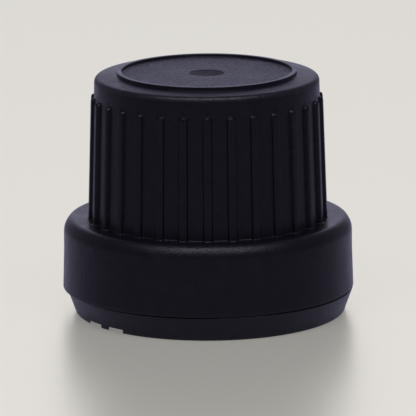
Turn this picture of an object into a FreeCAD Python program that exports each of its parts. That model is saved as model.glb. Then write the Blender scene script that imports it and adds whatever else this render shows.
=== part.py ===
import FreeCAD, Part
import math
import os
from dataclasses import dataclass

import Sketcher

# Tamper-evident screw cap for an 18 mm dropper bottle, standing on its mouth, with the dropper insert that it
# holds. +Z is up, the axis of the cap is the Z axis, and Z = 0 is the lower edge of the tamper-evident band.
# All sizes are in millimetres.

# Driving sizes: name, value, what it measures
CAP_SIZES = (
    ("band_height", 2.15, "tamper-evident band, lower edge to slit"),
    ("slit_gap", 0.20, "slit between band and collar"),
    ("collar_height", 6.55, "collar, slit to ledge"),
    ("skirt_height", 12.5, "ribbed skirt, ledge to crown"),
    ("rim_height", 0.4, "raised rim above the crown"),
    ("rim_dia", 16.0, "outside of the raised rim"),
    ("rim_width", 0.42, "width of the raised rim"),
    ("panel_depth", 0.25, "recessed panel below the rim"),
    ("dimple_dia", 3.1, "gate dimple, at its floor"),
    ("dimple_depth", 0.2, "gate dimple below the panel"),
    ("dimple_slope", 0.12, "width of the dimple's sloped edge"),
    ("crown_round", 0.8, "rounding of the crown's edge"),
    ("bore_dia", 18.3, "thread root inside the cap"),
    ("skirt_wall", 1.15, "wall of the skirt at the ledge"),
    ("skirt_taper", 0.35, "how much the skirt's radius shrinks up to the crown"),
    ("valley_bevel", 0.28, "sloped corner between skirt and ledge"),
    ("collar_dia", 26.0, "collar at the slit"),
    ("collar_taper", 0.28, "how much the collar's radius shrinks up to the ledge"),
    ("collar_wall", 1.4, "wall of the collar"),
    ("shoulder_round", 1.6, "rounding of the shoulder, between ledge and collar side"),
    ("band_step", 0.35, "how far the band's top stands in from the collar"),
    ("band_taper", 0.8, "how much the band's radius shrinks down to its lower edge"),
    ("band_wall", 1.35, "wall of the band at the slit"),
    ("bead_depth", 0.95, "retention bead's crest in from the band's inner wall"),
    ("bead_lift", 0.5, "retention bead's crest, lower side"),
    ("bead_land", 0.35, "height of the retention bead's crest"),
    ("bead_slope", 0.45, "height of the retention bead's upper slope"),
    ("bead_lead", 0.4, "lead-in below the bead, along the radius"),
    ("bridge_count", 15, "frangible bridges across the slit"),
    ("bridge_angle", 2.7, "angle that a bridge spans, degrees"),
    ("bridge_inset", 0.06, "bridge's outer face in from the band's top edge"),
    ("bridge_depth", 0.5, "thickness of a bridge along the radius"),
    ("rib_count", 30, "grip ribs"),
    ("rib_width", 0.84, "width of a grip rib"),
    ("rib_height", 0.31, "how far a rib stands out of the skirt"),
    ("rib_bevel", 0.13, "bevel of a rib's outer edges"),
    ("rib_bend", 2.2, "where a rib's root turns into the skirt, below the crown"),
    ("rib_dive", 0.33, "how deep a rib's root runs into the skirt at its top"),
    ("roof_wall", 1.3, "wall under the ledge"),
    ("roof_slope", 1.1, "height of the roof's sloped corner inside the collar"),
    ("thread_pitch", 3.0, "pitch of the internal thread"),
    ("thread_turns", 1.6, "turns of the internal thread"),
    ("thread_depth", 0.9, "height of the thread ridge"),
    ("thread_root", 1.5, "width of the thread ridge at its root"),
    ("thread_crest", 0.6, "width of the thread ridge at its crest"),
    ("thread_lead", 0.15, "start of the thread above the roof"),
    ("thread_relief", 0.4, "plain bore above the thread"),
    ("upper_wall", 1.35, "wall of the skirt above the thread"),
    ("upper_slope", 0.5, "height of the step at the end of the bore"),
    ("top_wall", 1.3, "wall under the panel"),
    ("ceiling_bevel", 0.5, "sloped corner between inner wall and ceiling"),
    ("ring_length", 5.25, "seal ring, ceiling to its seat on the insert's flange"),
    ("ring_wall", 0.9, "wall of the seal ring"),
    ("ring_chamfer", 0.25, "lead-in chamfer inside the seal ring"),
    ("notch_depth", 0.3, "notches in the band's lower edge"),
    ("notch_one_at", 211.2, "middle of the first notch, degrees from +X"),
    ("notch_one_angle", 8.0, "angle of the first notch, degrees"),
    ("notch_two_at", 225.0, "middle of the second notch, degrees from +X"),
    ("notch_two_angle", 7.6, "angle of the second notch, degrees"),
)
INSERT_SIZES = (
    ("fit_gap", 0.03, "clearance between seal ring and spout, on the radius"),
    ("tip_gap", 0.5, "clearance between spout tip and ceiling"),
    ("boss_gap", 0.1, "clearance of the sealing boss in the spout's cup"),
    ("land_dia", 8.0, "spout's sealing land inside the seal ring"),
    ("land_height", 1.6, "height of the sealing land above the flange"),
    ("flange_dia", 14.6, "flange that rests on the bottle's rim"),
    ("flange_thick", 1.0, "thickness of the flange"),
    ("plug_dia", 10.6, "plug in the bottle's neck"),
    ("plug_length", 7.6, "plug below the flange"),
    ("plug_wall", 0.9, "wall of the plug"),
    ("plug_taper", 0.4, "how much the plug's radius shrinks at its end"),
    ("plug_taper_length", 0.8, "length of the plug's tapered end"),
    ("seal_rib_height", 0.12, "sealing rib out of the plug"),
    ("seal_rib_width", 0.6, "sealing rib along the plug"),
    ("seal_rib_first", 1.1, "first sealing rib below the flange"),
    ("seal_rib_step", 2.5, "second sealing rib below the first"),
    ("spout_wall", 0.9, "wall of the spout"),
    ("cone_height", 0.55, "sloped shoulder above the sealing land"),
    ("neck_dia", 6.0, "spout above its sloped shoulder"),
    ("tip_dia", 4.9, "spout's tip over its pouring lip"),
    ("lip_height", 0.35, "height of the pouring lip"),
    ("lip_depth", 0.25, "how far the pouring lip stands out of the spout"),
    ("lip_slope", 0.25, "height of the slope under the pouring lip"),
    ("cup_dia", 3.7, "cup in the spout's tip"),
    ("cup_depth", 0.5, "depth of the cup"),
    ("tip_wall", 1.1, "wall under the cup"),
    ("tube_dia", 2.5, "dropper tube, outside"),
    ("tube_bore", 1.0, "dropper tube, bore"),
    ("tube_length", 10.2, "dropper tube below the cup's floor"),
    ("air_tube_dia", 1.5, "air tube, outside"),
    ("air_tube_bore", 0.6, "air tube, bore"),
    ("air_web", 0.55, "wall between the air bore and the dropper bore"),
    ("air_tube_length", 7.0, "air tube below the cup's floor"),
)

EMBED = 0.3             # how far a rib's or thread's root reaches into the wall that carries it
RIB_END_SLOPE = 0.8     # rise of a rib's sloped top end over its run into the wall
CROWN_FLAT_COUNT = 2    # flats that round the crown's edge
SHOULDER_FLAT_COUNT = 3 # flats that round the shoulder
SAME = 1e-4             # two lengths closer than this are the same


@dataclass(frozen=True)
class Size:
    """A size of the sheet, or a sum or share of several: its expression and its value."""

    text: str
    value: float

    def __add__(self, other):
        other = as_size(other)
        return Size(f"({self.text} + {other.text})", self.value + other.value)

    def __sub__(self, other):
        other = as_size(other)
        return Size(f"({self.text} - {other.text})", self.value - other.value)

    def __mul__(self, other):
        other = as_size(other)
        return Size(f"({self.text} * {other.text})", self.value * other.value)

    def __truediv__(self, other):
        other = as_size(other)
        return Size(f"({self.text} / {other.text})", self.value / other.value)


def as_size(number):
    """Return a plain number as a Size."""
    return number if isinstance(number, Size) else Size(repr(number), number)


def make_sheet(doc, rows):
    """Write the driving sizes into a sheet and return them by name."""
    sheet = doc.addObject("Spreadsheet::Sheet", "Sizes")
    sizes = {}
    for line, (name, value, meaning) in enumerate(rows, start=1):
        sheet.set(f"A{line}", meaning)
        sheet.set(f"B{line}", str(value))
        sheet.setAlias(f"B{line}", name)
        sizes[name] = Size(f"Sizes.{name}", value)
    doc.recompute()
    return sizes


def new_body(doc, name):
    """Add a body whose name and label are those of its file."""
    body = doc.addObject("PartDesign::Body", name)
    body.Label = name
    return body


def new_sketch(body, name, plane, lift=None):
    """Add a sketch on one of the body's own origin planes, lifted along its normal."""
    sketch = body.newObject("Sketcher::SketchObject", name)
    support = next(item for item in body.Origin.OriginFeatures if item.Role == plane)
    sketch.AttachmentSupport = (support, [""])
    sketch.MapMode = "FlatFace"
    if lift is not None:
        sketch.setExpression("AttachmentOffset.Base.z", lift.text)
    return sketch


def hold(sketch, geometry, point, corner):
    """Fix one point of a line or arc at a corner given as two sizes."""
    for kind, size in zip(("DistanceX", "DistanceY"), corner):
        if abs(size.value) < SAME:
            axis = -2 if kind == "DistanceX" else -1
            sketch.addConstraint(Sketcher.Constraint("PointOnObject", geometry, point, axis))
            continue
        index = sketch.addConstraint(Sketcher.Constraint(kind, -1, 1, geometry, point, size.value))
        sketch.setExpression(f"Constraints[{index}]", size.text)


def flat(corner):
    """Return a corner as a point of the sketch's plane."""
    return FreeCAD.Vector(corner[0].value, corner[1].value, 0)


def draw_outline(sketch, corners):
    """Draw a closed outline of straight lines through the corners."""
    count = len(corners)
    for index in range(count):
        start, end = flat(corners[index]), flat(corners[(index + 1) % count])
        sketch.addGeometry(Part.LineSegment(start, end), False)
    for index in range(count):
        sketch.addConstraint(Sketcher.Constraint("Coincident", index, 2, (index + 1) % count, 1))
    for index, corner in enumerate(corners):
        hold(sketch, index, 1, corner)


def draw_line(sketch, points):
    """Draw an open line of straight stretches through the points."""
    for index in range(len(points) - 1):
        sketch.addGeometry(Part.LineSegment(flat(points[index]), flat(points[index + 1])), False)
        hold(sketch, index, 1, points[index])
    for index in range(len(points) - 2):
        sketch.addConstraint(Sketcher.Constraint("Coincident", index, 2, index + 1, 1))
    hold(sketch, len(points) - 2, 2, points[-1])


def draw_circle(sketch, centre_x, diameter):
    """Draw a circle with its centre on the sketch's X axis."""
    circle = Part.Circle(FreeCAD.Vector(centre_x.value, 0, 0), FreeCAD.Vector(0, 0, 1), diameter.value / 2)
    index = sketch.addGeometry(circle, False)
    hold(sketch, index, 3, (centre_x, as_size(0)))
    bound = sketch.addConstraint(Sketcher.Constraint("Diameter", index, diameter.value))
    sketch.setExpression(f"Constraints[{bound}]", diameter.text)


def draw_sector(sketch, inner, outer, start, sweep):
    """Draw a sector of a ring between two radii, from a start angle over a sweep, in degrees."""
    first, last = math.radians(start.value), math.radians(start.value + sweep.value)
    centre, normal = FreeCAD.Vector(0, 0, 0), FreeCAD.Vector(0, 0, 1)
    for radius in (inner, outer):
        arc = Part.ArcOfCircle(Part.Circle(centre, normal, radius.value), first, last)
        index = sketch.addGeometry(arc, False)
        sketch.addConstraint(Sketcher.Constraint("Coincident", index, 3, -1, 1))
        bound = sketch.addConstraint(Sketcher.Constraint("Radius", index, radius.value))
        sketch.setExpression(f"Constraints[{bound}]", radius.text)
    for point, angle in ((1, start), (2, start + sweep)):
        side = math.radians(angle.value)
        direction = FreeCAD.Vector(math.cos(side), math.sin(side), 0)
        line = sketch.addGeometry(Part.LineSegment(direction * inner.value, direction * outer.value), False)
        sketch.addConstraint(Sketcher.Constraint("Coincident", line, 1, 0, point))
        sketch.addConstraint(Sketcher.Constraint("Coincident", line, 2, 1, point))
        bound = sketch.addConstraint(Sketcher.Constraint("Angle", line, side))
        sketch.setExpression(f"Constraints[{bound}]", f"{angle.text} * 1 deg")


def revolve(body, sketch, name):
    """Revolve a section about the Z axis."""
    feature = body.newObject("PartDesign::Revolution", name)
    feature.Profile = sketch
    feature.ReferenceAxis = (sketch, ["V_Axis"])
    feature.Angle = 360
    feature.Document.recompute()
    return feature


def repeat_around(body, feature, name, count):
    """Repeat a feature around the Z axis."""
    pattern = body.newObject("PartDesign::PolarPattern", name)
    pattern.Originals = [feature]
    axis = next(item for item in body.Origin.OriginFeatures if item.Role == "Z_Axis")
    pattern.Axis = (axis, [""])
    pattern.Angle = 360
    pattern.setExpression("Occurrences", count.text)
    body.Tip = pattern
    pattern.Document.recompute()
    return pattern


def cut_pocket(body, sketch, name, depth, upward):
    """Cut a sketch into the body, upwards or downwards from its plane, and check that it cuts."""
    before = body.Shape.Volume
    feature = body.newObject("PartDesign::Pocket", name)
    feature.Profile = sketch
    feature.Type = "Length"
    feature.Reversed = upward
    feature.setExpression("Length", depth.text)
    feature.Document.recompute()
    if feature.Shape.Volume > before - SAME:
        raise RuntimeError(f"{name} cuts nothing")
    return feature


def cap_levels(size):
    """Work out the heights that the cap and the insert share."""
    level = {"slit": size["band_height"]}
    level["collar"] = level["slit"] + size["slit_gap"]
    level["ledge"] = level["collar"] + size["collar_height"]
    level["crown"] = level["ledge"] + size["skirt_height"]
    level["top"] = level["crown"] + size["rim_height"]
    level["panel"] = level["top"] - size["panel_depth"]
    level["ceiling"] = level["panel"] - size["top_wall"]
    level["seat"] = level["ceiling"] - size["ring_length"]
    level["tip"] = level["ceiling"] - size["tip_gap"]
    level["cup"] = level["tip"] - size["cup_depth"]
    level["roof"] = level["ledge"] - size["roof_wall"]
    level["thread"] = level["roof"] + size["thread_lead"]
    thread_height = size["thread_pitch"] * size["thread_turns"] + size["thread_root"]
    level["bore_end"] = level["thread"] + thread_height + size["thread_relief"]
    return level


def cap_radii(size):
    """Work out the radii of the cap's walls."""
    radius = {"bore": size["bore_dia"] / 2, "collar": size["collar_dia"] / 2}
    radius["skirt"] = radius["bore"] + size["skirt_wall"]
    radius["crown"] = radius["skirt"] - size["skirt_taper"]
    radius["upper_bore"] = radius["crown"] - size["upper_wall"]
    radius["collar_top"] = radius["collar"] - size["collar_taper"]
    radius["collar_inside"] = radius["collar"] - size["collar_wall"]
    radius["band"] = radius["collar"] - size["band_step"]
    radius["band_foot"] = radius["band"] - size["band_taper"]
    radius["band_inside"] = radius["band"] - size["band_wall"]
    radius["bead"] = radius["band_inside"] - size["bead_depth"]
    radius["bridge_outside"] = radius["band"] - size["bridge_inset"]
    radius["bridge_inside"] = radius["bridge_outside"] - size["bridge_depth"]
    radius["rim"] = size["rim_dia"] / 2
    radius["rim_inside"] = radius["rim"] - size["rim_width"]
    radius["ring_inside"] = size["land_dia"] / 2 + size["fit_gap"]
    radius["ring_outside"] = radius["ring_inside"] + size["ring_wall"]
    radius["boss"] = size["cup_dia"] / 2 - size["boss_gap"]
    return radius


def rounded(corner, reach, flat_count):
    """Return the points of a quarter round in an outer corner, from its level face down to its upright one."""
    points = []
    for step in range(flat_count + 1):
        turn = math.pi / 2 * step / flat_count
        points.append((corner[0] - reach * (1 - math.sin(turn)), corner[1] - reach * (1 - math.cos(turn))))
    return points


def cap_section(size, level, radius):
    """Return the corners of the cap's half section, with a full ring where the bridges will stand."""
    axis, ground = as_size(0), as_size(0)
    dimple = size["dimple_dia"] / 2
    dimple_floor = level["panel"] - size["dimple_depth"]
    bead_top = size["bead_lift"] + size["bead_land"]
    boss_end = level["cup"] + size["boss_gap"]
    return (
        # panel, rim, crown, skirt and collar, from the axis outwards and down
        (axis, dimple_floor),
        (dimple, dimple_floor),
        (dimple + size["dimple_slope"], level["panel"]),
        (radius["rim_inside"], level["panel"]),
        (radius["rim_inside"], level["top"]),
        (radius["rim"], level["top"]),
        (radius["rim"], level["crown"]),
        *rounded((radius["crown"], level["crown"]), size["crown_round"], CROWN_FLAT_COUNT),
        (radius["skirt"], level["ledge"] + size["valley_bevel"]),
        (radius["skirt"] + size["valley_bevel"], level["ledge"]),
        *rounded((radius["collar_top"], level["ledge"]), size["shoulder_round"], SHOULDER_FLAT_COUNT),
        (radius["collar"], level["collar"]),
        # band, outside, foot, retention bead and inside
        (radius["bridge_outside"], level["collar"]),
        (radius["bridge_outside"], level["slit"]),
        (radius["band"], level["slit"]),
        (radius["band_foot"], ground),
        (radius["bead"] + size["bead_lead"], ground),
        (radius["bead"], size["bead_lift"]),
        (radius["bead"], bead_top),
        (radius["band_inside"], bead_top + size["bead_slope"]),
        (radius["band_inside"], level["slit"]),
        (radius["bridge_inside"], level["slit"]),
        (radius["bridge_inside"], level["collar"]),
        # collar inside, bore and ceiling, up and back to the axis
        (radius["collar_inside"], level["collar"]),
        (radius["collar_inside"] - size["collar_taper"], level["roof"] - size["roof_slope"]),
        (radius["collar_inside"] - size["collar_taper"] - size["roof_slope"], level["roof"]),
        (radius["bore"], level["roof"]),
        (radius["bore"], level["bore_end"]),
        (radius["upper_bore"], level["bore_end"] + size["upper_slope"]),
        (radius["upper_bore"], level["ceiling"] - size["ceiling_bevel"]),
        (radius["upper_bore"] - size["ceiling_bevel"], level["ceiling"]),
        (radius["ring_outside"], level["ceiling"]),
        (radius["ring_outside"], level["seat"]),
        (radius["ring_inside"] + size["ring_chamfer"], level["seat"]),
        (radius["ring_inside"], level["seat"] + size["ring_chamfer"]),
        (radius["ring_inside"], level["ceiling"]),
        (radius["boss"], level["ceiling"]),
        (radius["boss"], boss_end),
        (axis, boss_end),
    )


def add_ribs(body, size, level, radius):
    """Sweep one bevelled rib up the skirt, into the wall at its top, and repeat it around."""
    lean = size["skirt_taper"] / (size["skirt_height"] - size["crown_round"] - size["valley_bevel"])
    foot = level["ledge"]
    root = radius["skirt"] - EMBED
    bend = level["crown"] - size["rib_bend"]
    bend_root = root - (bend - foot) * lean
    dive = size["rib_dive"]

    path = new_sketch(body, "rib_path", "XZ_Plane")
    draw_line(path, ((root, foot), (bend_root, bend), (bend_root - dive, bend + dive * RIB_END_SLOPE)))
    section = new_sketch(body, "rib_section", "XY_Plane", foot)
    crest, half, bevel = radius["skirt"] + size["rib_height"], size["rib_width"] / 2, size["rib_bevel"]
    none = as_size(0)
    draw_outline(section, (
        (root, none - half),
        (crest - bevel, none - half),
        (crest, none - half + bevel),
        (crest, half - bevel),
        (crest - bevel, half),
        (root, half),
    ))
    rib = body.newObject("PartDesign::AdditivePipe", "rib")
    rib.Profile = section
    rib.Spine = (path, [""])
    rib.Transition = "Right corner"
    rib.Document.recompute()
    return repeat_around(body, rib, "ribs", size["rib_count"])


def cut_slit(body, size, level, radius):
    """Cut the ring in the slit into bridges: one window, repeated around."""
    window = new_sketch(body, "slit_window_section", "XY_Plane", level["slit"])
    spacing = as_size(360) / size["bridge_count"]
    inner = radius["bridge_inside"] - EMBED
    outer = radius["bridge_outside"] + size["bridge_inset"] / 2
    first = as_size(-90) + size["bridge_angle"] / 2
    draw_sector(window, inner, outer, first, spacing - size["bridge_angle"])
    opened = cut_pocket(body, window, "slit_window", size["slit_gap"], True)
    return repeat_around(body, opened, "slit_windows", size["bridge_count"])


def cut_notches(body, size, radius):
    """Cut the two notches in the band's lower edge."""
    for name in ("one", "two"):
        sketch = new_sketch(body, f"notch_{name}_section", "XY_Plane")
        angle = size[f"notch_{name}_angle"]
        start = size[f"notch_{name}_at"] - angle / 2
        draw_sector(sketch, radius["bead"] - EMBED, radius["collar"], start, angle)
        cut_pocket(body, sketch, f"notch_{name}", size["notch_depth"], True)


def add_thread(body, size, level, radius):
    """Wind the internal thread ridge up the bore."""
    root, crest = radius["bore"] + EMBED, radius["bore"] - size["thread_depth"]
    flank = (size["thread_root"] - size["thread_crest"]) / 2
    start = level["thread"]
    section = new_sketch(body, "thread_section", "XZ_Plane")
    draw_outline(section, (
        (crest, start + flank),
        (radius["bore"], start),
        (root, start),
        (root, start + size["thread_root"]),
        (radius["bore"], start + size["thread_root"]),
        (crest, start + flank + size["thread_crest"]),
    ))
    thread = body.newObject("PartDesign::AdditiveHelix", "thread")
    thread.Profile = section
    thread.ReferenceAxis = (section, ["V_Axis"])
    thread.Mode = "pitch-turns-angle"
    thread.setExpression("Pitch", size["thread_pitch"].text)
    thread.setExpression("Turns", size["thread_turns"].text)
    thread.Document.recompute()
    return thread


def make_cap(doc, size, level):
    """Build the screw cap: crown, skirt, collar, bridges and band in one moulding."""
    radius = cap_radii(size)
    body = new_body(doc, "screw_cap")
    section = new_sketch(body, "cap_section", "XZ_Plane")
    draw_outline(section, cap_section(size, level, radius))
    revolve(body, section, "moulding")
    cut_slit(body, size, level, radius)
    cut_notches(body, size, radius)
    add_thread(body, size, level, radius)
    add_ribs(body, size, level, radius)
    return body


def insert_section(size, level):
    """Return the corners of the insert's half section, from the dropper bore outwards and round."""
    seat, tip, cup = level["seat"], level["tip"], level["cup"]
    bore, tube = size["tube_bore"] / 2, size["tube_dia"] / 2
    land, plug = size["land_dia"] / 2, size["plug_dia"] / 2
    neck, lip = size["neck_dia"] / 2, size["tip_dia"] / 2
    spout_top = lip - size["lip_depth"]
    under_flange = seat - size["flange_thick"]
    plug_end = under_flange - size["plug_length"]
    inside = plug - size["plug_wall"]
    corners = [
        (bore, cup),
        (size["cup_dia"] / 2, cup),
        (size["cup_dia"] / 2, tip),
        (lip, tip),
        (lip, tip - size["lip_height"]),
        (spout_top, tip - size["lip_height"] - size["lip_slope"]),
        (neck, seat + size["land_height"] + size["cone_height"]),
        (land, seat + size["land_height"]),
        (land, seat),
        (size["flange_dia"] / 2, seat),
        (size["flange_dia"] / 2, under_flange),
        (plug, under_flange),
    ]
    rib = under_flange - size["seal_rib_first"]
    for rib_top in (rib, rib - size["seal_rib_step"]):
        corners += [
            (plug, rib_top),
            (plug + size["seal_rib_height"], rib_top - size["seal_rib_width"] / 2),
            (plug, rib_top - size["seal_rib_width"]),
        ]
    corners += [
        (plug, plug_end + size["plug_taper_length"]),
        (plug - size["plug_taper"], plug_end),
        (inside, plug_end),
        (inside, under_flange),
        (land - size["spout_wall"], seat),
        (land - size["spout_wall"], seat + size["land_height"]),
        (spout_top - size["spout_wall"] / 4, cup - size["tip_wall"]),
        (tube, cup - size["tip_wall"]),
        (tube, cup - size["tube_length"]),
        (bore, cup - size["tube_length"]),
    ]
    return corners


def make_insert(doc, size, level):
    """Build the dropper insert: flange, plug, spout, dropper tube and air tube in one moulding."""
    body = new_body(doc, "dropper_insert")
    section = new_sketch(body, "insert_section", "XZ_Plane")
    draw_outline(section, insert_section(size, level))
    revolve(body, section, "moulding")

    air_end = level["cup"] - size["air_tube_length"]
    air_axis = size["tube_bore"] / 2 + size["air_web"] + size["air_tube_bore"] / 2
    tube_section = new_sketch(body, "air_tube_section", "XY_Plane", air_end)
    draw_circle(tube_section, air_axis, size["air_tube_dia"])
    tube = body.newObject("PartDesign::Pad", "air_tube")
    tube.Profile = tube_section
    tube.setExpression("Length", (size["air_tube_length"] - size["tip_wall"] / 2).text)
    doc.recompute()

    bore_section = new_sketch(body, "air_bore_section", "XY_Plane", level["cup"])
    draw_circle(bore_section, air_axis, size["air_tube_bore"])
    cut_pocket(body, bore_section, "air_bore", size["air_tube_length"], False)

    return body


def check(doc, bodies):
    """Stop if any object failed or any piece is not one valid solid."""
    for item in doc.Objects:
        if "Invalid" in item.State or "Error" in item.State:
            raise RuntimeError(f"{item.Name} failed: {item.State}")
    for body in bodies:
        shape = body.Shape
        if shape.isNull() or not shape.isValid() or len(shape.Solids) != 1:
            raise RuntimeError(f"{body.Label} is not one valid solid")


def main():
    """Build both pieces and write one file for each."""
    doc = FreeCAD.newDocument("dropper_cap")
    size = make_sheet(doc, CAP_SIZES + INSERT_SIZES)
    level = cap_levels(size)
    bodies = [make_cap(doc, size, level), make_insert(doc, size, level)]
    doc.recompute()
    check(doc, bodies)
    os.makedirs("parts", exist_ok=True)
    for body in bodies:
        body.Shape.exportStep(f"parts/{body.Label}.step")
        box = body.Shape.BoundBox
        print(body.Label, "volume", round(body.Shape.Volume, 2), "height", round(box.ZMin, 3), round(box.ZMax, 3))


main()
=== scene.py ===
import logging
import math
from collections.abc import Callable
from dataclasses import dataclass, field, replace
from enum import Enum, IntEnum
from itertools import pairwise

import bmesh
import bpy
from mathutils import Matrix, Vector

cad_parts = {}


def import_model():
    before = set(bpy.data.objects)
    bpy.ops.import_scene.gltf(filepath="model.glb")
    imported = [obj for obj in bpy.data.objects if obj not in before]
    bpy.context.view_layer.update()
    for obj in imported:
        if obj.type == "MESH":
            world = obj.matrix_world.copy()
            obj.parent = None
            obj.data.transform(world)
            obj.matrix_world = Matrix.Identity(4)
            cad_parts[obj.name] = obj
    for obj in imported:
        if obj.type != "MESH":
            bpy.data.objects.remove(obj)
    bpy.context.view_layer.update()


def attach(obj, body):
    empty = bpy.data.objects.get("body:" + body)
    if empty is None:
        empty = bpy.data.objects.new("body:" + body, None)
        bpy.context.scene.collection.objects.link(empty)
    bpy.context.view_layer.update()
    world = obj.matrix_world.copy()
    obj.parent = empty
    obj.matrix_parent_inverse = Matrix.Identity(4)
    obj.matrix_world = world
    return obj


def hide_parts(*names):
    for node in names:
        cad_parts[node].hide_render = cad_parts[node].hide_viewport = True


# The black screw cap of an 18 mm dropper bottle, with its tamper-evident band and the dropper insert in it.
# +Z is up along the cap's axis, -Y faces the camera, and Z = 0 is the lower edge of the band. Sections are
# drawn in millimetres and turned to metres as they are drawn.

Colour = tuple[float, float, float]
Place = tuple[float, float, float]
Span = tuple[float, float]      # both ends of a range

MM = 0.001
AXIS = (0.0, 0.0, 1.0)
CENTRE = (0.0, 0.0, 0.0)
ARC_STEP = math.radians(13)     # a section's roundings are drawn in steps of about this angle
SMALL_ROUNDING = 0.3            # mm; below it a rounding is drawn in steps of twice that angle
TURN = 2 * math.pi
FRONT = -math.pi / 2            # direction of the camera side, as an angle from +X
WELD = 1e-7                     # vertices closer than this are one, in metres
SLACK = 0.01                    # tolerance in picking vertices by place, mm or degrees
NO_SHARE = 0.001                # a rib that stands out by less than this share has ended
SMOOTH_ANGLE = math.radians(40)     # faces that meet at less than this are shaded as one
FLAT_PULL = 80                  # how far the large faces decide the shading beside them, 1 to 100

EDGE_WIDTH = 0.12               # mm beside an edge that are rubbed
EDGE_SAMPLES = 4                # rays that look for an edge
EDGE_TURN = (0.995, 0.93)       # cosine of the surface's turn where rubbing starts and where it is full
EDGE_WEAR = (0.0, 0.45)         # how rubbed an edge is there
SCUFF_NOISE = (0.45, 0.75)      # noise where a scuff starts and where it is full
SCUFF_WEAR = (0.05, 0.35)       # how rubbed a scuff is there
TIP_NOISE = (0.52, 0.66)        # noise of the fine grain where its rubbed tips start and where they are full
PATCH_NOISE = (0.3, 0.7)        # noise where the roughness is lowest and where it is highest
GLOW_DEPTH = 1.5                # mm that light travels inside a milky plastic
GLOW_REACH = (1.0, 0.95, 0.85)  # share of that depth for red, green and blue

log = logging.getLogger("dropper cap")


class Body(Enum):
    """The two bodies that the joint moves apart."""

    CAP = "cap"
    INSERT = "insert"


class Slot(Enum):
    """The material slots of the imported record."""

    CAP = "cap_black"
    INSERT = "insert_natural"


@dataclass(frozen=True)
class Corner:
    """A corner of a half section, in millimetres."""

    radius: float
    height: float
    rounding: float = 0.0

    @property
    def point(self) -> Vector:
        """The corner as a point of the section's plane."""
        return Vector((self.radius, self.height))


def round_corner(before: Vector, corner: Corner, after: Vector) -> list[Vector]:
    """Replace a corner by the arc that rounds it.

    Args:
        before: the point before the corner.
        corner: the corner with its rounding.
        after: the point after the corner.

    Returns:
        The arc's points, or the corner alone where it is sharp.
    """
    tip = corner.point
    if corner.rounding == 0.0:
        return [tip]
    back, ahead = (before - tip).normalized(), (after - tip).normalized()
    opening = back.angle(ahead)
    centre = tip + (back + ahead).normalized() * corner.rounding / math.sin(opening / 2)
    first = tip + back * corner.rounding / math.tan(opening / 2) - centre
    turn = math.pi - opening
    if back.x * ahead.y - back.y * ahead.x > 0:
        turn = -turn
    coarseness = 2 if corner.rounding < SMALL_ROUNDING else 1
    steps = max(2, round(abs(turn) / (coarseness * ARC_STEP)))
    points = []
    for step in range(steps + 1):
        angle = turn * step / steps
        cosine, sine = math.cos(angle), math.sin(angle)
        along = first.x * cosine - first.y * sine
        points.append(centre + Vector((along, first.x * sine + first.y * cosine)))
    return points


def section_points(corners: list[Corner], closed: bool) -> list[Vector]:
    """Work out the points of a half section from its corners.

    Args:
        corners: the section's corners in order.
        closed: whether the last corner joins the first.

    Returns:
        The points in millimetres, with every rounding drawn as an arc.
    """
    count = len(corners)
    points: list[Vector] = []
    for index, corner in enumerate(corners):
        before = corners[index - 1].point
        after = corners[(index + 1) % count].point
        points += round_corner(before, corner, after)
    if closed:
        points.append(points[0])
    return points


def start_drawing(name: str) -> bpy.types.Object:
    """Start a new mesh in edit mode with one vertex at the centre.

    Args:
        name: the object's name.

    Returns:
        The new object.
    """
    bpy.ops.object.select_all(action="DESELECT")
    bpy.ops.mesh.primitive_plane_add(size=MM, location=CENTRE)
    piece = bpy.context.active_object
    piece.name = name
    piece.data.name = name
    bpy.ops.object.mode_set(mode="EDIT")
    bpy.ops.mesh.select_all(action="SELECT")
    bpy.ops.mesh.merge(type="CENTER")
    return piece


def draw_section(name: str, points: list[Vector], heading: float) -> bpy.types.Object:
    """Draw a half section as a line of edges in the upright plane at a heading.

    Args:
        name: the object's name.
        points: the section's points in millimetres, as distance from the axis and height.
        heading: direction of the plane, as an angle from +X.

    Returns:
        The object, in edit mode with all of the line selected.
    """
    piece = start_drawing(name)
    across = Vector((math.cos(heading), math.sin(heading), 0.0)) * MM
    place = Vector(CENTRE)
    for index, point in enumerate(points):
        there = across * point.x + Vector(AXIS) * point.y * MM
        move = {"value": there - place}
        if index == 0:
            bpy.ops.transform.translate(**move)
        else:
            bpy.ops.mesh.extrude_vertices_move(TRANSFORM_OT_translate=move)
        place = there
    bpy.ops.mesh.select_all(action="SELECT")
    return piece


def spin(angle: float, steps: int, copies: bool = False) -> None:
    """Spin the selection about the cap's axis, counter-clockwise from above.

    Args:
        angle: the whole turn in radians.
        steps: the number of steps in it.
        copies: whether to set down copies instead of a swept surface.
    """
    bpy.ops.mesh.spin(steps=steps, dupli=copies, angle=-angle, center=CENTRE, axis=AXIS)


def pick(piece: bpy.types.Object, wanted: Callable[[Vector], bool]) -> None:
    """Select the vertices whose places are wanted, in edit mode.

    Args:
        piece: the object in edit mode.
        wanted: tells whether a place, in millimetres, is wanted.
    """
    bpy.ops.mesh.select_all(action="DESELECT")
    mesh = bmesh.from_edit_mesh(piece.data)
    for vertex in mesh.verts:
        vertex.select_set(wanted(vertex.co / MM))
    bmesh.update_edit_mesh(piece.data)


def heading_of(place: Vector) -> float:
    """Return a place's angle from the front, in radians, counter-clockwise from above."""
    return (math.atan2(place.y, place.x) - FRONT + math.pi) % TURN - math.pi


def close_up() -> None:
    """Merge what meets, turn the faces outwards and leave edit mode."""
    bpy.ops.mesh.select_all(action="SELECT")
    bpy.ops.mesh.remove_doubles(threshold=WELD)
    bpy.ops.mesh.normals_make_consistent(inside=False)
    bpy.ops.object.mode_set(mode="OBJECT")


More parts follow.
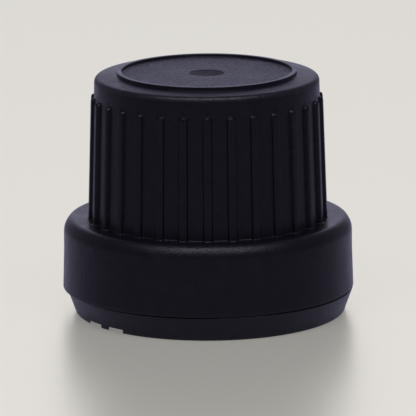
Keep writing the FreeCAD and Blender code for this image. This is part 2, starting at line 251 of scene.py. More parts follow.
def lathe(name: str, corners: list[Corner], steps: int, closed: bool = False) -> bpy.types.Object:
    """Turn a half section into a round piece.

    Args:
        name: the piece's name.
        corners: the section's corners, from axis to axis or all round.
        steps: the number of steps in the full turn.
        closed: whether the section is a closed one, as a ring's is.

    Returns:
        The piece.
    """
    piece = draw_section(name, section_points(corners, closed), FRONT)
    spin(TURN, steps)
    close_up()
    return piece


def select_only(*pieces: bpy.types.Object) -> None:
    """Select these pieces alone and make the first one active."""
    bpy.ops.object.select_all(action="DESELECT")
    for piece in pieces:
        piece.select_set(True)
    bpy.context.view_layer.objects.active = pieces[0]


def join(*pieces: bpy.types.Object) -> bpy.types.Object:
    """Join pieces into the first one and return it."""
    select_only(*pieces)
    bpy.ops.object.join()
    return pieces[0]


def apply_modifier(piece: bpy.types.Object, kind: str, **settings: object) -> None:
    """Add a modifier to a piece and apply it.

    Args:
        piece: the piece.
        kind: the modifier's type.
        settings: the modifier's settings by name.
    """
    select_only(piece)
    modifier = piece.modifiers.new(kind.lower(), kind)
    for name, value in settings.items():
        setattr(modifier, name, value)
    bpy.ops.object.modifier_apply(modifier=modifier.name)


def cut(piece: bpy.types.Object, tool: bpy.types.Object) -> None:
    """Cut a tool's volume out of a piece and remove the tool."""
    apply_modifier(piece, "BOOLEAN", object=tool, operation="DIFFERENCE", solver="EXACT")
    bpy.data.objects.remove(tool, do_unlink=True)


def smooth(piece: bpy.types.Object) -> None:
    """Shade a piece smooth over its roundings and flat on its flats."""
    select_only(piece)
    bpy.ops.object.shade_smooth_by_angle(angle=SMOOTH_ANGLE)
    apply_modifier(piece, "WEIGHTED_NORMAL", keep_sharp=True, weight=FLAT_PULL)


def clear_nodes(owner: bpy.types.Material | bpy.types.World) -> bpy.types.NodeTree:
    """Give a material or a world an empty node tree and return the tree."""
    owner.use_nodes = True
    owner.node_tree.nodes.clear()
    return owner.node_tree


def add_noise(
    tree: bpy.types.NodeTree, place: bpy.types.NodeSocket, width: float, detail: float = 3.0
) -> bpy.types.NodeSocket:
    """Add a noise whose features have a real width.

    Args:
        tree: the nodes that it joins.
        place: the coordinates that it reads, in metres.
        width: width of a feature in millimetres.
        detail: number of finer layers on it.

    Returns:
        The noise's value.
    """
    noise = tree.nodes.new("ShaderNodeTexNoise")
    noise.inputs["Scale"].default_value = 1.0 / (width * MM)
    noise.inputs["Detail"].default_value = detail
    tree.links.new(place, noise.inputs["Vector"])
    return noise.outputs["Fac"]


def add_range(
    tree: bpy.types.NodeTree, value: bpy.types.NodeSocket, source: Span, target: Span
) -> bpy.types.NodeSocket:
    """Map a value from one range to another.

    Args:
        tree: the nodes that it joins.
        value: the value to map.
        source: the range that it comes from.
        target: the range that it goes to.

    Returns:
        The mapped value.
    """
    mapped = tree.nodes.new("ShaderNodeMapRange")
    for name, number in zip(("From Min", "From Max", "To Min", "To Max"), source + target):
        mapped.inputs[name].default_value = number
    tree.links.new(value, mapped.inputs["Value"])
    return mapped.outputs["Result"]


def add_math(
    tree: bpy.types.NodeTree,
    operation: str,
    first: bpy.types.NodeSocket,
    second: bpy.types.NodeSocket | float | None = None,
) -> bpy.types.NodeSocket:
    """Calculate with one value or two.

    Args:
        tree: the nodes that it joins.
        operation: what to do with the values.
        first: the first value.
        second: the second value, from a node or as a plain number.

    Returns:
        The result.
    """
    calculation = tree.nodes.new("ShaderNodeMath")
    calculation.operation = operation
    tree.links.new(first, calculation.inputs[0])
    if isinstance(second, float):
        calculation.inputs[1].default_value = second
    elif second is not None:
        tree.links.new(second, calculation.inputs[1])
    return calculation.outputs["Value"]


def mix_colours(
    tree: bpy.types.NodeTree, share: bpy.types.NodeSocket, first: Colour, second: Colour
) -> bpy.types.NodeSocket:
    """Mix two colours.

    Args:
        tree: the nodes that it joins.
        share: how much of the second colour shows.
        first: the first colour.
        second: the second colour.

    Returns:
        The mixed colour.
    """
    mix = tree.nodes.new("ShaderNodeMix")
    mix.data_type = "RGBA"
    mix.inputs["A"].default_value = (*first, 1.0)
    mix.inputs["B"].default_value = (*second, 1.0)
    tree.links.new(share, mix.inputs["Factor"])
    return mix.outputs["Result"]


def mix_shaders(
    tree: bpy.types.NodeTree,
    share: bpy.types.NodeSocket,
    first: bpy.types.NodeSocket,
    second: bpy.types.NodeSocket,
) -> bpy.types.NodeSocket:
    """Mix two shaders.

    Args:
        tree: the nodes that it joins.
        share: how much of the second shader shows.
        first: the first shader.
        second: the second shader.

    Returns:
        The mixed shader.
    """
    mix = tree.nodes.new("ShaderNodeMixShader")
    tree.links.new(share, mix.inputs["Fac"])
    tree.links.new(first, mix.inputs[1])
    tree.links.new(second, mix.inputs[2])
    return mix.outputs["Shader"]


@dataclass(frozen=True)
class Grain:
    """One layer of surface texture: how large its grains are and how far they stand out."""

    size: float         # width of a grain, mm
    height: float       # how far it stands out, mm
    strength: float     # share of the relief that shows


@dataclass(frozen=True)
class Plastic:
    """A moulded plastic finish with two layers of texture, uneven gloss and rubbed edges."""

    name: str
    colour: Colour
    rubbed: Colour              # colour of edges and scuffs
    gloss: Span                 # lowest and highest roughness
    reflection: float           # specular level
    fine: Grain
    coarse: Grain
    patch: float = 2.5          # width of the patches of uneven gloss, mm
    speckle: float = 0.0        # how far the tips of the fine grain are rubbed
    glow: float = 0.0           # share of light that scatters inside

    def make(self) -> bpy.types.Material:
        """Build the finish's nodes and return its material."""
        material = bpy.data.materials.new(self.name)
        tree = clear_nodes(material)
        output = tree.nodes.new("ShaderNodeOutputMaterial")
        shader = tree.nodes.new("ShaderNodeBsdfPrincipled")
        shader.inputs["Specular IOR Level"].default_value = self.reflection
        shader.inputs["Subsurface Weight"].default_value = self.glow
        shader.inputs["Subsurface Scale"].default_value = GLOW_DEPTH * MM
        shader.inputs["Subsurface Radius"].default_value = GLOW_REACH
        tree.links.new(shader.outputs["BSDF"], output.inputs["Surface"])

        place = tree.nodes.new("ShaderNodeTexCoord").outputs["Object"]
        self.add_colour(tree, place, shader)
        self.add_gloss(tree, place, shader)
        self.add_relief(tree, place, shader)
        return material

    def add_colour(
        self, tree: bpy.types.NodeTree, place: bpy.types.NodeSocket, shader: bpy.types.Node
    ) -> None:
        """Colour the surface, with rubbed edges, faint scuffs and rubbed tips of its grain.

        Args:
            tree: the material's nodes.
            place: the coordinates that it reads.
            shader: the shader that it colours.
        """
        scuffs = add_range(tree, add_noise(tree, place, self.patch / 3, 6.0), SCUFF_NOISE, SCUFF_WEAR)
        tips = add_range(tree, add_noise(tree, place, self.fine.size), TIP_NOISE, (0.0, self.speckle))
        worn = add_math(tree, "MAXIMUM", self.add_edges(tree), scuffs)
        worn = add_math(tree, "MAXIMUM", worn, tips)
        tree.links.new(mix_colours(tree, worn, self.colour, self.rubbed), shader.inputs["Base Color"])

    @staticmethod
    def add_edges(tree: bpy.types.NodeTree) -> bpy.types.NodeSocket:
        """Find the edges, where the surface turns within a fraction of a millimetre.

        Args:
            tree: the material's nodes.

        Returns:
            How rubbed a place is for being an edge.
        """
        true_normal = tree.nodes.new("ShaderNodeNewGeometry").outputs["Normal"]
        rounded = tree.nodes.new("ShaderNodeBevel")
        rounded.samples = EDGE_SAMPLES
        rounded.inputs["Radius"].default_value = EDGE_WIDTH * MM
        dot = tree.nodes.new("ShaderNodeVectorMath")
        dot.operation = "DOT_PRODUCT"
        tree.links.new(true_normal, dot.inputs[0])
        tree.links.new(rounded.outputs["Normal"], dot.inputs[1])
        return add_range(tree, dot.outputs["Value"], EDGE_TURN, EDGE_WEAR)

    def add_gloss(
        self, tree: bpy.types.NodeTree, place: bpy.types.NodeSocket, shader: bpy.types.Node
    ) -> None:
        """Vary the roughness in patches.

        Args:
            tree: the material's nodes.
            place: the coordinates that it reads.
            shader: the shader whose roughness it sets.
        """
        patches = add_noise(tree, place, self.patch, 4.0)
        roughness = add_range(tree, patches, PATCH_NOISE, self.gloss)
        tree.links.new(roughness, shader.inputs["Roughness"])

    def add_relief(
        self, tree: bpy.types.NodeTree, place: bpy.types.NodeSocket, shader: bpy.types.Node
    ) -> None:
        """Raise the two layers of grain.

        Args:
            tree: the material's nodes.
            place: the coordinates that it reads.
            shader: the shader whose surface it raises.
        """
        normal = None
        for grain in (self.coarse, self.fine):
            bump = tree.nodes.new("ShaderNodeBump")
            bump.inputs["Strength"].default_value = grain.strength
            bump.inputs["Distance"].default_value = grain.height * MM
            tree.links.new(add_noise(tree, place, grain.size), bump.inputs["Height"])
            if normal is not None:
                tree.links.new(normal, bump.inputs["Normal"])
            normal = bump.outputs["Normal"]
        tree.links.new(normal, shader.inputs["Normal"])


MOULDED_BLACK = Plastic(
    name="moulded black polypropylene",
    colour=(0.0022, 0.0022, 0.0036),
    rubbed=(0.0065, 0.0065, 0.0095),
    gloss=(0.26, 0.36),
    reflection=0.14,
    fine=Grain(size=0.22, height=0.05, strength=0.6),
    coarse=Grain(size=0.6, height=0.03, strength=0.15),
)
CROWN_BLACK = replace(
    MOULDED_BLACK,
    name="duller black polypropylene of the crown",
    gloss=(0.36, 0.44),
    reflection=0.25,
    fine=Grain(size=0.24, height=0.07, strength=0.7),
)
SHOULDER_BLACK = replace(
    MOULDED_BLACK,
    name="grainier black polypropylene of the shoulder",
    reflection=0.15,
    fine=Grain(size=0.15, height=0.045, strength=0.8),
)
ERODED_BLACK = Plastic(
    name="spark-eroded black polypropylene",
    colour=(0.006, 0.006, 0.009),
    rubbed=(0.05, 0.05, 0.066),
    gloss=(0.42, 0.48),
    reflection=0.3,
    fine=Grain(size=0.3, height=0.4, strength=1.0),
    coarse=Grain(size=0.6, height=0.04, strength=0.3),
    speckle=1.0,
)
GATE_BLACK = Plastic(
    name="gate mark in black polypropylene",
    colour=(0.0055, 0.0055, 0.008),
    rubbed=(0.012, 0.012, 0.016),
    gloss=(0.5, 0.6),
    reflection=0.07,
    fine=Grain(size=0.25, height=0.08, strength=0.8),
    coarse=Grain(size=0.5, height=0.04, strength=0.4),
)
MILKY_NATURAL = Plastic(
    name="natural low-density polyethylene",
    colour=(0.80, 0.80, 0.75),
    rubbed=(0.88, 0.88, 0.84),
    gloss=(0.3, 0.42),
    reflection=0.4,
    fine=Grain(size=0.15, height=0.006, strength=0.3),
    coarse=Grain(size=1.2, height=0.015, strength=0.3),
    patch=4.0,
    glow=0.35,
)


def dress(piece: bpy.types.Object, *finishes: Plastic) -> None:
    """Give a piece its finishes, one material slot each."""
    piece.data.materials.clear()
    for finish in finishes:
        made = bpy.data.materials.get(finish.name)
        piece.data.materials.append(made if made else finish.make())


class Zone(IntEnum):
    """The zones of the cap's skin, in the order of its finishes."""

    MOULDED = 0
    CROWN = 1
    ERODED = 2
    GATE = 3
    SHOULDER = 4


@dataclass
class Rib:
    """One grip rib: how its surface stands out of the skirt, across and at its rounded top end."""

    height: float = 0.31        # mm out of the skirt
    half: float = 2.3           # half its width, degrees
    top: float = 19.17          # where its top end starts to round off, mm
    end: float = 0.38           # length of the round end, mm
    flank: tuple[Span, ...] = (
        (0.0, 1.0), (0.3, 1.0), (0.58, 1.0), (0.72, 0.93), (0.86, 0.77), (0.955, 0.5), (1.0, 0.2),
        (1.045, 0.06), (1.13, 0.0),
    )                           # share of the height at each share of the half width

    def columns(self) -> list[float]:
        """Return the angles off the rib's middle that need a column, in degrees."""
        return [self.half * place for place, _ in self.flank]

    def rows(self) -> list[float]:
        """Return the levels of the round end that need a row, in millimetres."""
        return [self.top + self.end * place for place, _ in self.flank]

    def share(self, angle: float, level: float) -> float:
        """Work out how far out of the skirt a place on the rib stands.

        Args:
            angle: its angle off the rib's middle, in degrees.
            level: its level in millimetres.

        Returns:
            The share of the rib's height.
        """
        off = math.hypot(angle / self.half, max(0.0, level - self.top) / self.end)
        for (near, high), (far, low) in pairwise(self.flank):
            if off <= far:
                return high + (low - high) * (off - near) / (far - near)
        return 0.0


@dataclass
class Thread:
    """The ridge of the inner thread, right-hand, in millimetres."""

    start: float = 7.75         # lower edge of the ridge where it starts
    turns: float = 1.6
    pitch: float = 3.0
    depth: float = 0.9          # how far the ridge stands out of the bore
    width: float = 1.5          # its width at the bore
    flank: float = 0.45         # how much of that width each of its slopes takes
    root: float = 0.25          # how deep it runs into the wall
    rounding: float = 0.15      # of its crest
    steps: int = 160


@dataclass
class Bridge:
    """One of the small bridges across the slit, in millimetres."""

    angle: float = 2.7          # that it spans, degrees
    inset: float = 0.06         # its outer face in from the band's top edge
    depth: float = 0.5          # along the radius
    overlap: float = 0.03       # how far it runs into the band and into the collar
    steps: int = 2


@dataclass
class ScrewCap:
    """The cap with its ribs, shoulder, band, bridges and inner thread: one moulding, one piece.

    Radii and levels are in millimetres.
    """

    steps: int = 30                     # ribs, and the sectors that carry them
    rim: Corner = Corner(8.0, 21.8, 0.05)
    rim_width: float = 0.42
    panel: float = 21.55                # level of the recessed panel
    dimple: float = 1.42
    dimple_floor: float = 21.51
    crown: Corner = Corner(10.0, 21.3, 0.46)
    crown_top: float = 21.45            # level of the crown at the rim's foot
    skirt: Corner = Corner(10.4, 8.52, 0.12)
    shoulder: Corner = Corner(12.3, 8.65, 0.7)
    collar_top: Corner = Corner(12.88, 7.8, 1.4)
    collar_foot: Corner = Corner(13.0, 2.32, 0.06)
    collar_wall: float = 1.4            # thickness of the collar at its foot
    band_steps: int = 240
    band_top: Corner = Corner(12.82, 2.26, 0.08)
    band_foot: Corner = Corner(12.0, 0.0, 0.4)
    band_inside: float = 11.3
    band_shift: Span = (0.16, -0.14)    # the band hangs this much to the right and forward
    bead: float = 10.35
    notches: tuple[Span, ...] = ((-10.66, -9.65), (-8.97, -7.72))   # sides of each, to the right of the axis
    notch_height: float = 0.44
    notch_run: Span = (-14.0, -2.0)     # front and back of the blocks that cut the notches
    bore: float = 9.15
    bore_foot: float = 7.6
    bore_top: float = 14.45
    upper_bore: float = 8.6
    upper_bore_foot: float = 14.95
    ceiling: float = 20.25
    ring_inside: float = 4.03           # the ring that seals on the insert's spout
    ring_outside: float = 4.93
    seat: float = 15.0                  # level of the ring's lower edge, on the insert's flange
    boss: float = 1.75                  # the boss that closes the spout's cup
    boss_end: float = 19.35
    crown_reach: float = 0.2            # how far below its rounding the crown's finish runs
    shoulder_reach: float = 0.6         # how far below its corner the shoulder's finish runs
    rib: Rib = field(default_factory=Rib)
    thread: Thread = field(default_factory=Thread)
    bridge: Bridge = field(default_factory=Bridge)

    def build(self) -> bpy.types.Object:
        """Build the cap and return it."""
        cap = self.build_moulding()
        cap = join(cap, self.build_band(), self.build_bridges(), self.build_thread())
        cap.name = "cap_moulding"
        smooth(cap)
        self.finish(cap)
        return cap

    def section(self) -> list[Corner]:
        """Return the corners of the cap's section above the slit, from the axis round to the axis."""
        rim_inside = self.rim.radius - self.rim_width
        inside = self.collar_foot.radius - self.collar_wall
        return [
            Corner(0.0, self.dimple_floor),
            Corner(self.dimple - 0.3, self.dimple_floor),
            Corner(self.dimple, self.dimple_floor, 0.1),
            Corner(self.dimple + 0.14, self.panel, 0.08),
            Corner(self.dimple + 0.4, self.panel),
            Corner(rim_inside - 0.3, self.panel),
            Corner(rim_inside - 0.03, self.panel, 0.06),
            Corner(rim_inside, self.rim.height, 0.06),
            self.rim,
            Corner(self.rim.radius, self.crown_top, 0.04),
            self.crown,
            *self.skirt_rows(),
            self.skirt,
            self.shoulder,
            self.collar_top,
            Corner(self.collar_foot.radius - 0.11, 5.8),
            Corner(self.collar_foot.radius - 0.01, 2.7),
            self.collar_foot,
            Corner(inside, self.collar_foot.height, 0.1),
            Corner(inside - 0.25, 6.5, 0.4),
            Corner(inside - 1.35, self.bore_foot, 0.3),
            Corner(self.bore, self.bore_foot, 0.2),
            Corner(self.bore, self.bore_top, 0.2),
            Corner(self.upper_bore, self.upper_bore_foot, 0.2),
            Corner(self.upper_bore, self.ceiling, 0.5),
            Corner(self.ring_outside, self.ceiling, 0.15),
            Corner(self.ring_outside, self.seat, 0.1),
            Corner(self.ring_inside + 0.25, self.seat, 0.05),
            Corner(self.ring_inside, self.seat + 0.25, 0.1),
            Corner(self.ring_inside, self.ceiling, 0.15),
            Corner(self.boss, self.ceiling, 0.1),
            Corner(self.boss, self.boss_end, 0.12),
            Corner(0.0, self.boss_end),
        ]

    def skirt_rows(self) -> list[Corner]:
        """Return the rows of the skirt that the ribs' top ends need, on the skirt's slope."""
        lean = (self.skirt.radius - self.crown.radius) / (self.crown.height - self.skirt.height)
        levels = [self.rib.top + 1.0, *sorted(self.rib.rows(), reverse=True), self.skirt.height + 0.6]
        return [Corner(self.crown.radius + (self.crown.height - level) * lean, level) for level in levels]

    def build_moulding(self) -> bpy.types.Object:
        """Sweep one sector of the cap with its rib, and copy it all round."""
        columns = self.rib.columns()
        sector = 360 / self.steps
        gap = sector / 2 - max(columns)
        plain = [sector / 2 - share * gap for share in (0.0, 0.5)]
        places = sorted({side * angle for side in (-1, 1) for angle in [*columns, *plain]})
        start = FRONT + math.radians(places[0])
        piece = draw_section("cap_moulding", section_points(self.section(), False), start)
        for here, there in pairwise(places):
            spin(math.radians(there - here), 1)
        bpy.ops.mesh.select_all(action="SELECT")
        bpy.ops.mesh.remove_doubles(threshold=WELD)
        self.raise_rib(piece)
        bpy.ops.mesh.select_all(action="SELECT")
        spin(math.radians(sector) * (self.steps - 1), self.steps - 1, copies=True)
        close_up()
        return piece

    def raise_rib(self, piece: bpy.types.Object) -> None:
        """Push the rib out of the sector's skirt, column by column, and round its top end row by row.

        Args:
            piece: the sector, in edit mode.
        """
        inner = self.bore + 0.5     # from here to the next the outer skin lies alone
        outer = self.skirt.radius + self.skirt.rounding + 0.15
        for angle in self.rib.columns():
            low = self.skirt.height - SLACK
            for level in self.rib.rows():
                share = self.rib.share(angle, level)
                if share < NO_SHARE:
                    break

                def on_rib(place: Vector) -> bool:
                    """Tell whether a place is on this column and row of the rib."""
                    radius = math.hypot(place.x, place.y)
                    if not (low < place.z < level + SLACK and inner < radius < outer):
                        return False
                    return abs(abs(math.degrees(heading_of(place))) - angle) < SLACK

                pick(piece, on_rib)
                factor = 1 + self.rib.height * share / self.skirt.radius
                bpy.ops.transform.resize(value=(factor, factor, 1.0), center_override=CENTRE)
                low = level + SLACK

    def build_band(self) -> bpy.types.Object:
        """Turn the tamper-evident band with its retention bead, and cut the notches in its foot."""
        band = lathe("band", [
            self.band_top,
            self.band_foot,
            Corner(self.bead + 0.4, 0.0, 0.1),
            Corner(self.bead, 0.5, 0.1),
            Corner(self.bead, 0.85, 0.1),
            Corner(self.band_inside, 1.3, 0.2),
            Corner(self.band_inside, self.band_top.height, 0.08),
        ], self.band_steps, closed=True)
        for left, right in self.notches:
            cut(band, self.build_cutter(left, right))
        select_only(band)
        bpy.ops.transform.translate(value=(*(shift * MM for shift in self.band_shift), 0.0))
        bpy.ops.object.transform_apply(location=True, rotation=True, scale=True)
        return band

    def build_cutter(self, left: float, right: float) -> bpy.types.Object:
        """Make the block that cuts one notch, straight from the front.

        Args:
            left: its left side, in millimetres to the right of the axis.
            right: its right side, likewise.

        Returns:
            The block.
        """
        front, back = self.notch_run
        below = -0.5                # well under the band's foot
        middle = Vector((left + right, front + back, below + self.notch_height)) * MM / 2
        size = Vector((right - left, back - front, self.notch_height - below)) * MM
        bpy.ops.mesh.primitive_cube_add(size=1.0, location=middle)
        bpy.ops.transform.resize(value=size)
        bpy.ops.object.transform_apply(location=True, rotation=True, scale=True)
        return bpy.context.active_object

    def build_bridges(self) -> bpy.types.Object:
        """Make the small bridges that hold the band to the collar, one for every two ribs."""
        outside = self.band_top.radius - self.bridge.inset
        inside = outside - self.bridge.depth
        low = self.band_top.height - self.bridge.overlap
        high = self.collar_foot.height + self.bridge.overlap
        corners = [Corner(inside, low), Corner(outside, low), Corner(outside, high), Corner(inside, high)]
        angle = math.radians(self.bridge.angle)
        bridges = draw_section("bridges", section_points(corners, True), FRONT - angle / 2)
        bpy.ops.mesh.remove_doubles(threshold=WELD)
        bpy.ops.mesh.edge_face_add()
        spin(angle, self.bridge.steps)
        bpy.ops.mesh.select_all(action="SELECT")
        count = self.steps // 2
        spin(TURN * (count - 1) / count, count - 1, copies=True)
        close_up()
        return bridges

    def build_thread(self) -> bpy.types.Object:
        """Wind the inner thread's ridge up the bore and close both of its ends."""
        ridge = self.thread
        low, high = ridge.start, ridge.start + ridge.width
        root, crest = self.bore + ridge.root, self.bore - ridge.depth
        corners = [
            Corner(crest, low + ridge.flank, ridge.rounding),
            Corner(self.bore, low),
            Corner(root, low),
            Corner(root, high),
            Corner(self.bore, high),
            Corner(crest, high - ridge.flank, ridge.rounding),
        ]
        thread = draw_section("thread", section_points(corners, True), 0.0)
        bpy.ops.mesh.remove_doubles(threshold=WELD)
        bpy.ops.object.mode_set(mode="OBJECT")
        apply_modifier(
            thread,
            "SCREW",
            angle=TURN * ridge.turns,
            screw_offset=ridge.pitch * ridge.turns * MM,
            steps=ridge.steps,
            render_steps=ridge.steps,
        )
        bpy.ops.object.mode_set(mode="EDIT")
        bpy.ops.mesh.select_all(action="SELECT")
        bpy.ops.mesh.fill_holes(sides=0)
        close_up()
        return thread

    def zone_of(self, place: Vector) -> Zone:
        """Tell which zone of the skin a place belongs to.

        Args:
            place: the place in millimetres.

        Returns:
            Its zone; all that has no finish of its own is moulded skin.
        """
        near, wide = 0.02, 0.1      # a face's middle lies this far from a sharp and from a rounded border
        radius = math.hypot(place.x, place.y)
        panel = self.rim.radius - self.rim_width
        if place.z < self.crown.height - self.crown.rounding - self.crown_reach:
            outer = radius > self.skirt.radius + 2 * wide
            if outer and place.z > self.collar_top.height - self.shoulder_reach:
                return Zone.SHOULDER
        elif radius > self.rim.radius + near:
            return Zone.CROWN
        elif place.z > self.crown_top + near and radius < panel - wide:
            return Zone.GATE if radius < self.dimple + wide else Zone.ERODED
        return Zone.MOULDED

    def finish(self, cap: bpy.types.Object) -> None:
        """Dress the cap zone by zone and hand it to the frame.

        Args:
            cap: the finished mesh.
        """
        dress(cap, MOULDED_BLACK, CROWN_BLACK, ERODED_BLACK, GATE_BLACK, SHOULDER_BLACK)
        for face in cap.data.polygons:
            face.material_index = self.zone_of(face.center / MM)
        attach(cap, Body.CAP.value)
        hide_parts("screw_cap")


@dataclass
class DropperInsert:
    """The insert: plug, flange, spout, dropper tube and air tube in one moulding.

    Radii and levels are in millimetres.
    """

    steps: int = 180
    seat: float = 15.0              # level of the flange's upper face
    flange: float = 7.3
    flange_height: float = 1.0
    tip: float = 19.75              # level of the spout's pouring lip
    tip_radius: float = 2.45
    cup: float = 19.25              # level of the floor of the cup in the spout's tip
    cup_radius: float = 1.85
    land: float = 4.0               # where the cap's ring seals
    land_top: float = 16.6
    land_wall: float = 0.9
    tube: float = 1.25              # the dropper tube
    tube_bore: float = 0.5
    tube_length: float = 10.2
    air_tube: float = 0.75
    air_bore: float = 0.3
    air_offset: float = 1.35        # the air tube's axis, to the right of the cap's
    air_length: float = 7.0
    plug: float = 5.3
    plug_wall: float = 0.9
    plug_end: float = 6.4
    plug_ribs: Span = (1.1, 3.6)    # how far below the flange the sealing ribs start

    def build(self) -> bpy.types.Object:
        """Build the insert and return it."""
        insert = lathe("insert_moulding", self.section(), self.steps, closed=True)
        tube = self.build_rod(self.air_tube, self.cup - self.air_length, self.cup - 0.55)
        apply_modifier(insert, "BOOLEAN", object=tube, operation="UNION", solver="EXACT")
        bpy.data.objects.remove(tube, do_unlink=True)
        cut(insert, self.build_rod(self.air_bore, self.cup - self.air_length - 1.0, self.tip))
        smooth(insert)
        dress(insert, MILKY_NATURAL)
        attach(insert, Body.INSERT.value)
        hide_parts("dropper_insert")
        return insert

    def section(self) -> list[Corner]:
        """Return the corners of the insert's closed section, from the dropper bore outwards and round."""
        under = self.seat - self.flange_height
        ribs = []
        for start in self.plug_ribs:
            ribs += [
                Corner(self.plug, under - start, 0.1),
                Corner(self.plug + 0.12, under - start - 0.3, 0.12),
                Corner(self.plug, under - start - 0.6, 0.1),
            ]
        plug_inside = self.plug - self.plug_wall
        land_inside = self.land - self.land_wall
        return [
            Corner(self.tube_bore, self.cup, 0.08),
            Corner(self.cup_radius, self.cup, 0.12),
            Corner(self.cup_radius, self.tip, 0.1),
            Corner(self.tip_radius, self.tip, 0.12),
            Corner(self.tip_radius, self.tip - 0.35, 0.1),
            Corner(self.tip_radius - 0.25, self.tip - 0.6, 0.1),
            Corner(3.0, 17.15, 0.3),
            Corner(self.land, self.land_top, 0.2),
            Corner(self.land, self.seat, 0.15),
            Corner(self.flange, self.seat, 0.15),
            Corner(self.flange, under, 0.15),
            Corner(self.plug, under, 0.15),
            *ribs,
            Corner(self.plug, self.plug_end + 0.8, 0.4),
            Corner(self.plug - 0.4, self.plug_end, 0.12),
            Corner(plug_inside, self.plug_end, 0.12),
            Corner(plug_inside, under, 0.4),
            Corner(land_inside, self.seat + 0.9, 0.3),
            Corner(land_inside, self.land_top, 0.3),
            Corner(1.975, self.cup - 1.1, 0.2),
            Corner(self.tube, self.cup - 1.1, 0.15),
            Corner(self.tube, self.cup - self.tube_length, 0.1),
            Corner(self.tube_bore, self.cup - self.tube_length, 0.1),
        ]

    def build_rod(self, radius: float, low: float, high: float) -> bpy.types.Object:
        """Make a round rod on the air tube's axis.

        Args:
            radius: its radius in millimetres.
            low: its lower end.
            high: its upper end.

        Returns:
            The rod.
        """
        bpy.ops.object.select_all(action="DESELECT")
        bpy.ops.mesh.primitive_cylinder_add(
            vertices=48,
            radius=radius * MM,
            depth=(high - low) * MM,
            location=(self.air_offset * MM, 0.0, (low + high) / 2 * MM),
        )
        rod = bpy.context.active_object
        bpy.ops.object.transform_apply(location=True, rotation=True, scale=True)
        return rod


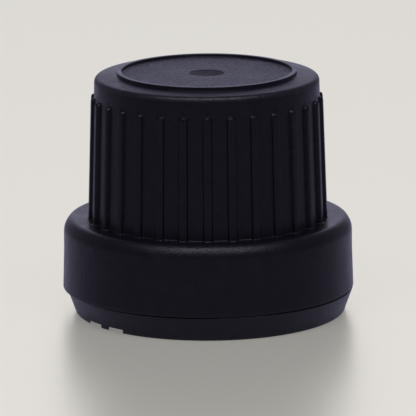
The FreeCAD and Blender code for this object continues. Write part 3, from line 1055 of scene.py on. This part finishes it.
@dataclass
class Studio:
    """The floor, the light and the camera, in metres and watts."""

    floor_size: float = 3.0
    floor_colour: Colour = (0.95, 0.97, 0.65)       # under the softbox's cool light
    floor_look: Colour = (0.94, 0.91, 0.86)         # the same floor as the camera mostly sees it
    look_share: float = 0.8                         # how much of the camera's view of the floor that is
    floor_gloss: Colour = (0.97, 0.97, 0.71)
    floor_fade: float = 1.3
    shaded_floor_colour: Colour = (0.72, 0.72, 0.79)        # the floor as the object reflects it: a shaded copy of the floor, painted darker, with its own mirror and fade on the next two lines
    shaded_floor_gloss: Colour = (0.74, 0.74, 0.8)
    shaded_floor_fade: float = 2.6
    mirror_roughness: float = 0.34
    sky: Colour = (0.24, 0.23, 0.31)
    backdrop: Colour = (0.81, 0.785, 1.05)          # as the object and the floor reflect it
    wall: Colour = (0.72, 0.70, 0.66)               # the backdrop as the camera sees it
    behind: Span = (0.2, 0.7)                       # the backdrop fades in as a direction turns backwards,
    low: Span = (0.8, 0.35)                         # downwards
    narrow: Span = (0.4, 0.12)                      # and inwards from the sides, as shares of its length
    softbox_place: Place = (0.0, -0.27, 0.52)
    softbox_size: Span = (0.7, 0.22)                # width and depth
    softbox_power: float = 3.3
    cool: Colour = (0.95, 0.92, 1.18)               # colour of the softbox
    lens: float = 432.7                             # mm
    sensor: float = 36.0                            # mm wide
    distance: float = 0.447                         # camera to target
    pitch: float = 12.6                             # degrees down
    roll: float = -0.45                             # degrees
    target: Place = (0.00002, 0.0, 0.00924)

    def build(self) -> None:
        """Set up everything around the object."""
        self.build_floor()
        self.light_world()
        self.hang_softbox()
        self.place_camera()
        bpy.context.scene.view_settings.view_transform = "Standard"

    def build_floor(self) -> None:
        """Lay the pale floor, which the object reflects as a copy painted a darker grey as shade, and which
        is clear from below.
        """
        bpy.ops.object.select_all(action="DESELECT")
        bpy.ops.mesh.primitive_plane_add(size=self.floor_size, location=CENTRE)
        floor = bpy.context.active_object
        floor.name = "floor"
        material = bpy.data.materials.new("pale floor")
        tree = clear_nodes(material)
        output = tree.nodes.new("ShaderNodeOutputMaterial")
        path = tree.nodes.new("ShaderNodeLightPath")
        side = tree.nodes.new("ShaderNodeNewGeometry")
        clear = tree.nodes.new("ShaderNodeBsdfTransparent")
        lit = self.add_matt(tree, self.floor_colour)
        look = tree.nodes.new("ShaderNodeEmission")
        look.inputs["Color"].default_value = (*self.floor_look, 1.0)
        share = add_math(tree, "MULTIPLY", path.outputs["Is Camera Ray"], self.look_share)
        seen = mix_shaders(tree, share, lit, look.outputs["Emission"])
        pale = self.add_mirror(tree, seen, self.floor_gloss, self.floor_fade)
        # the floor's shaded copy, painted darker, for the glossy rays that the object reflects
        shaded_copy = self.add_mirror(tree, self.add_matt(tree, self.shaded_floor_colour), self.shaded_floor_gloss, self.shaded_floor_fade)
        above = mix_shaders(tree, path.outputs["Is Glossy Ray"], pale, shaded_copy)
        whole = mix_shaders(tree, side.outputs["Backfacing"], above, clear.outputs["BSDF"])
        tree.links.new(whole, output.inputs["Surface"])
        floor.data.materials.append(material)

    @staticmethod
    def add_matt(tree: bpy.types.NodeTree, colour: Colour) -> bpy.types.NodeSocket:
        """Add a matt surface of a colour and return its shader."""
        matt = tree.nodes.new("ShaderNodeBsdfDiffuse")
        matt.inputs["Color"].default_value = (*colour, 1.0)
        return matt.outputs["BSDF"]

    def add_mirror(
        self, tree: bpy.types.NodeTree, ground: bpy.types.NodeSocket, gloss: Colour, fade: float
    ) -> bpy.types.NodeSocket:
        """Lay a soft mirror over the ground, which shows at a low angle.

        Args:
            tree: the floor's nodes.
            ground: the shader under the mirror.
            gloss: the mirror's colour.
            fade: how fast the mirror fades as the view gets steeper.

        Returns:
            The shader of both.
        """
        mirror = tree.nodes.new("ShaderNodeBsdfGlossy")
        mirror.inputs["Color"].default_value = (*gloss, 1.0)
        mirror.inputs["Roughness"].default_value = self.mirror_roughness
        angle = tree.nodes.new("ShaderNodeLayerWeight")
        angle.inputs["Blend"].default_value = 0.5
        low_angle = add_math(tree, "POWER", angle.outputs["Facing"], fade)
        return mix_shaders(tree, low_angle, ground, mirror.outputs["BSDF"])

    def light_world(self) -> None:
        """Give the surroundings a pale look for the camera and a plain soft light for the object."""
        world = bpy.data.worlds.new("studio")
        bpy.context.scene.world = world
        tree = clear_nodes(world)
        output = tree.nodes.new("ShaderNodeOutputWorld")
        path = tree.nodes.new("ShaderNodeLightPath")
        light, wall = (tree.nodes.new("ShaderNodeBackground") for _ in range(2))
        colour = mix_colours(tree, self.add_backdrop_mask(tree), self.sky, self.backdrop)
        tree.links.new(colour, light.inputs["Color"])
        wall.inputs["Color"].default_value = (*self.wall, 1.0)
        whole = mix_shaders(
            tree, path.outputs["Is Camera Ray"], light.outputs["Background"], wall.outputs["Background"]
        )
        tree.links.new(whole, output.inputs["Surface"])

    def add_backdrop_mask(self, tree: bpy.types.NodeTree) -> bpy.types.NodeSocket:
        """Mark where the pale backdrop stands: behind the object, low and narrow.

        Args:
            tree: the world's nodes.

        Returns:
            1 where the backdrop is, 0 where it isn't.
        """
        split = tree.nodes.new("ShaderNodeSeparateXYZ")
        tree.links.new(tree.nodes.new("ShaderNodeTexCoord").outputs["Generated"], split.inputs["Vector"])
        across = add_math(tree, "ABSOLUTE", split.outputs["X"])
        behind = add_range(tree, split.outputs["Y"], self.behind, (0.0, 1.0))
        low = add_range(tree, split.outputs["Z"], self.low, (0.0, 1.0))
        narrow = add_range(tree, across, self.narrow, (0.0, 1.0))
        return add_math(tree, "MULTIPLY", add_math(tree, "MULTIPLY", behind, low), narrow)

    def hang_softbox(self) -> None:
        """Hang the softbox over the object's front, facing the object."""
        bpy.ops.object.light_add(type="AREA", location=self.softbox_place)
        light = bpy.context.active_object
        light.name = "overhead softbox"
        light.data.shape = "RECTANGLE"
        light.data.size, light.data.size_y = self.softbox_size
        light.data.energy = self.softbox_power
        light.data.color = self.cool
        towards = Vector(CENTRE) - Vector(self.softbox_place)
        light.rotation_euler = towards.to_track_quat("-Z", "Y").to_euler()

    def place_camera(self) -> None:
        """Set the camera where the photographer's stood."""
        pitch = math.radians(self.pitch)
        back = Vector((0.0, -math.cos(pitch), math.sin(pitch)))
        bpy.ops.object.camera_add(location=Vector(self.target) + back * self.distance)
        camera = bpy.context.active_object
        camera.rotation_euler = (-back).to_track_quat("-Z", "Y").to_euler()
        camera.rotation_euler.rotate_axis("Z", math.radians(self.roll))
        camera.data.lens = self.lens
        camera.data.sensor_width = self.sensor
        camera.data.clip_start = 0.01
        bpy.context.scene.camera = camera


def main() -> None:
    """Load the frame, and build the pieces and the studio."""
    logging.basicConfig(level=logging.INFO, format="%(name)s: %(message)s")
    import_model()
    for maker in (ScrewCap(), DropperInsert()):
        piece = maker.build()
        log.info("%s: %d faces", piece.name, len(piece.data.polygons))
    Studio().build()


if __name__ == "__main__":
    main()
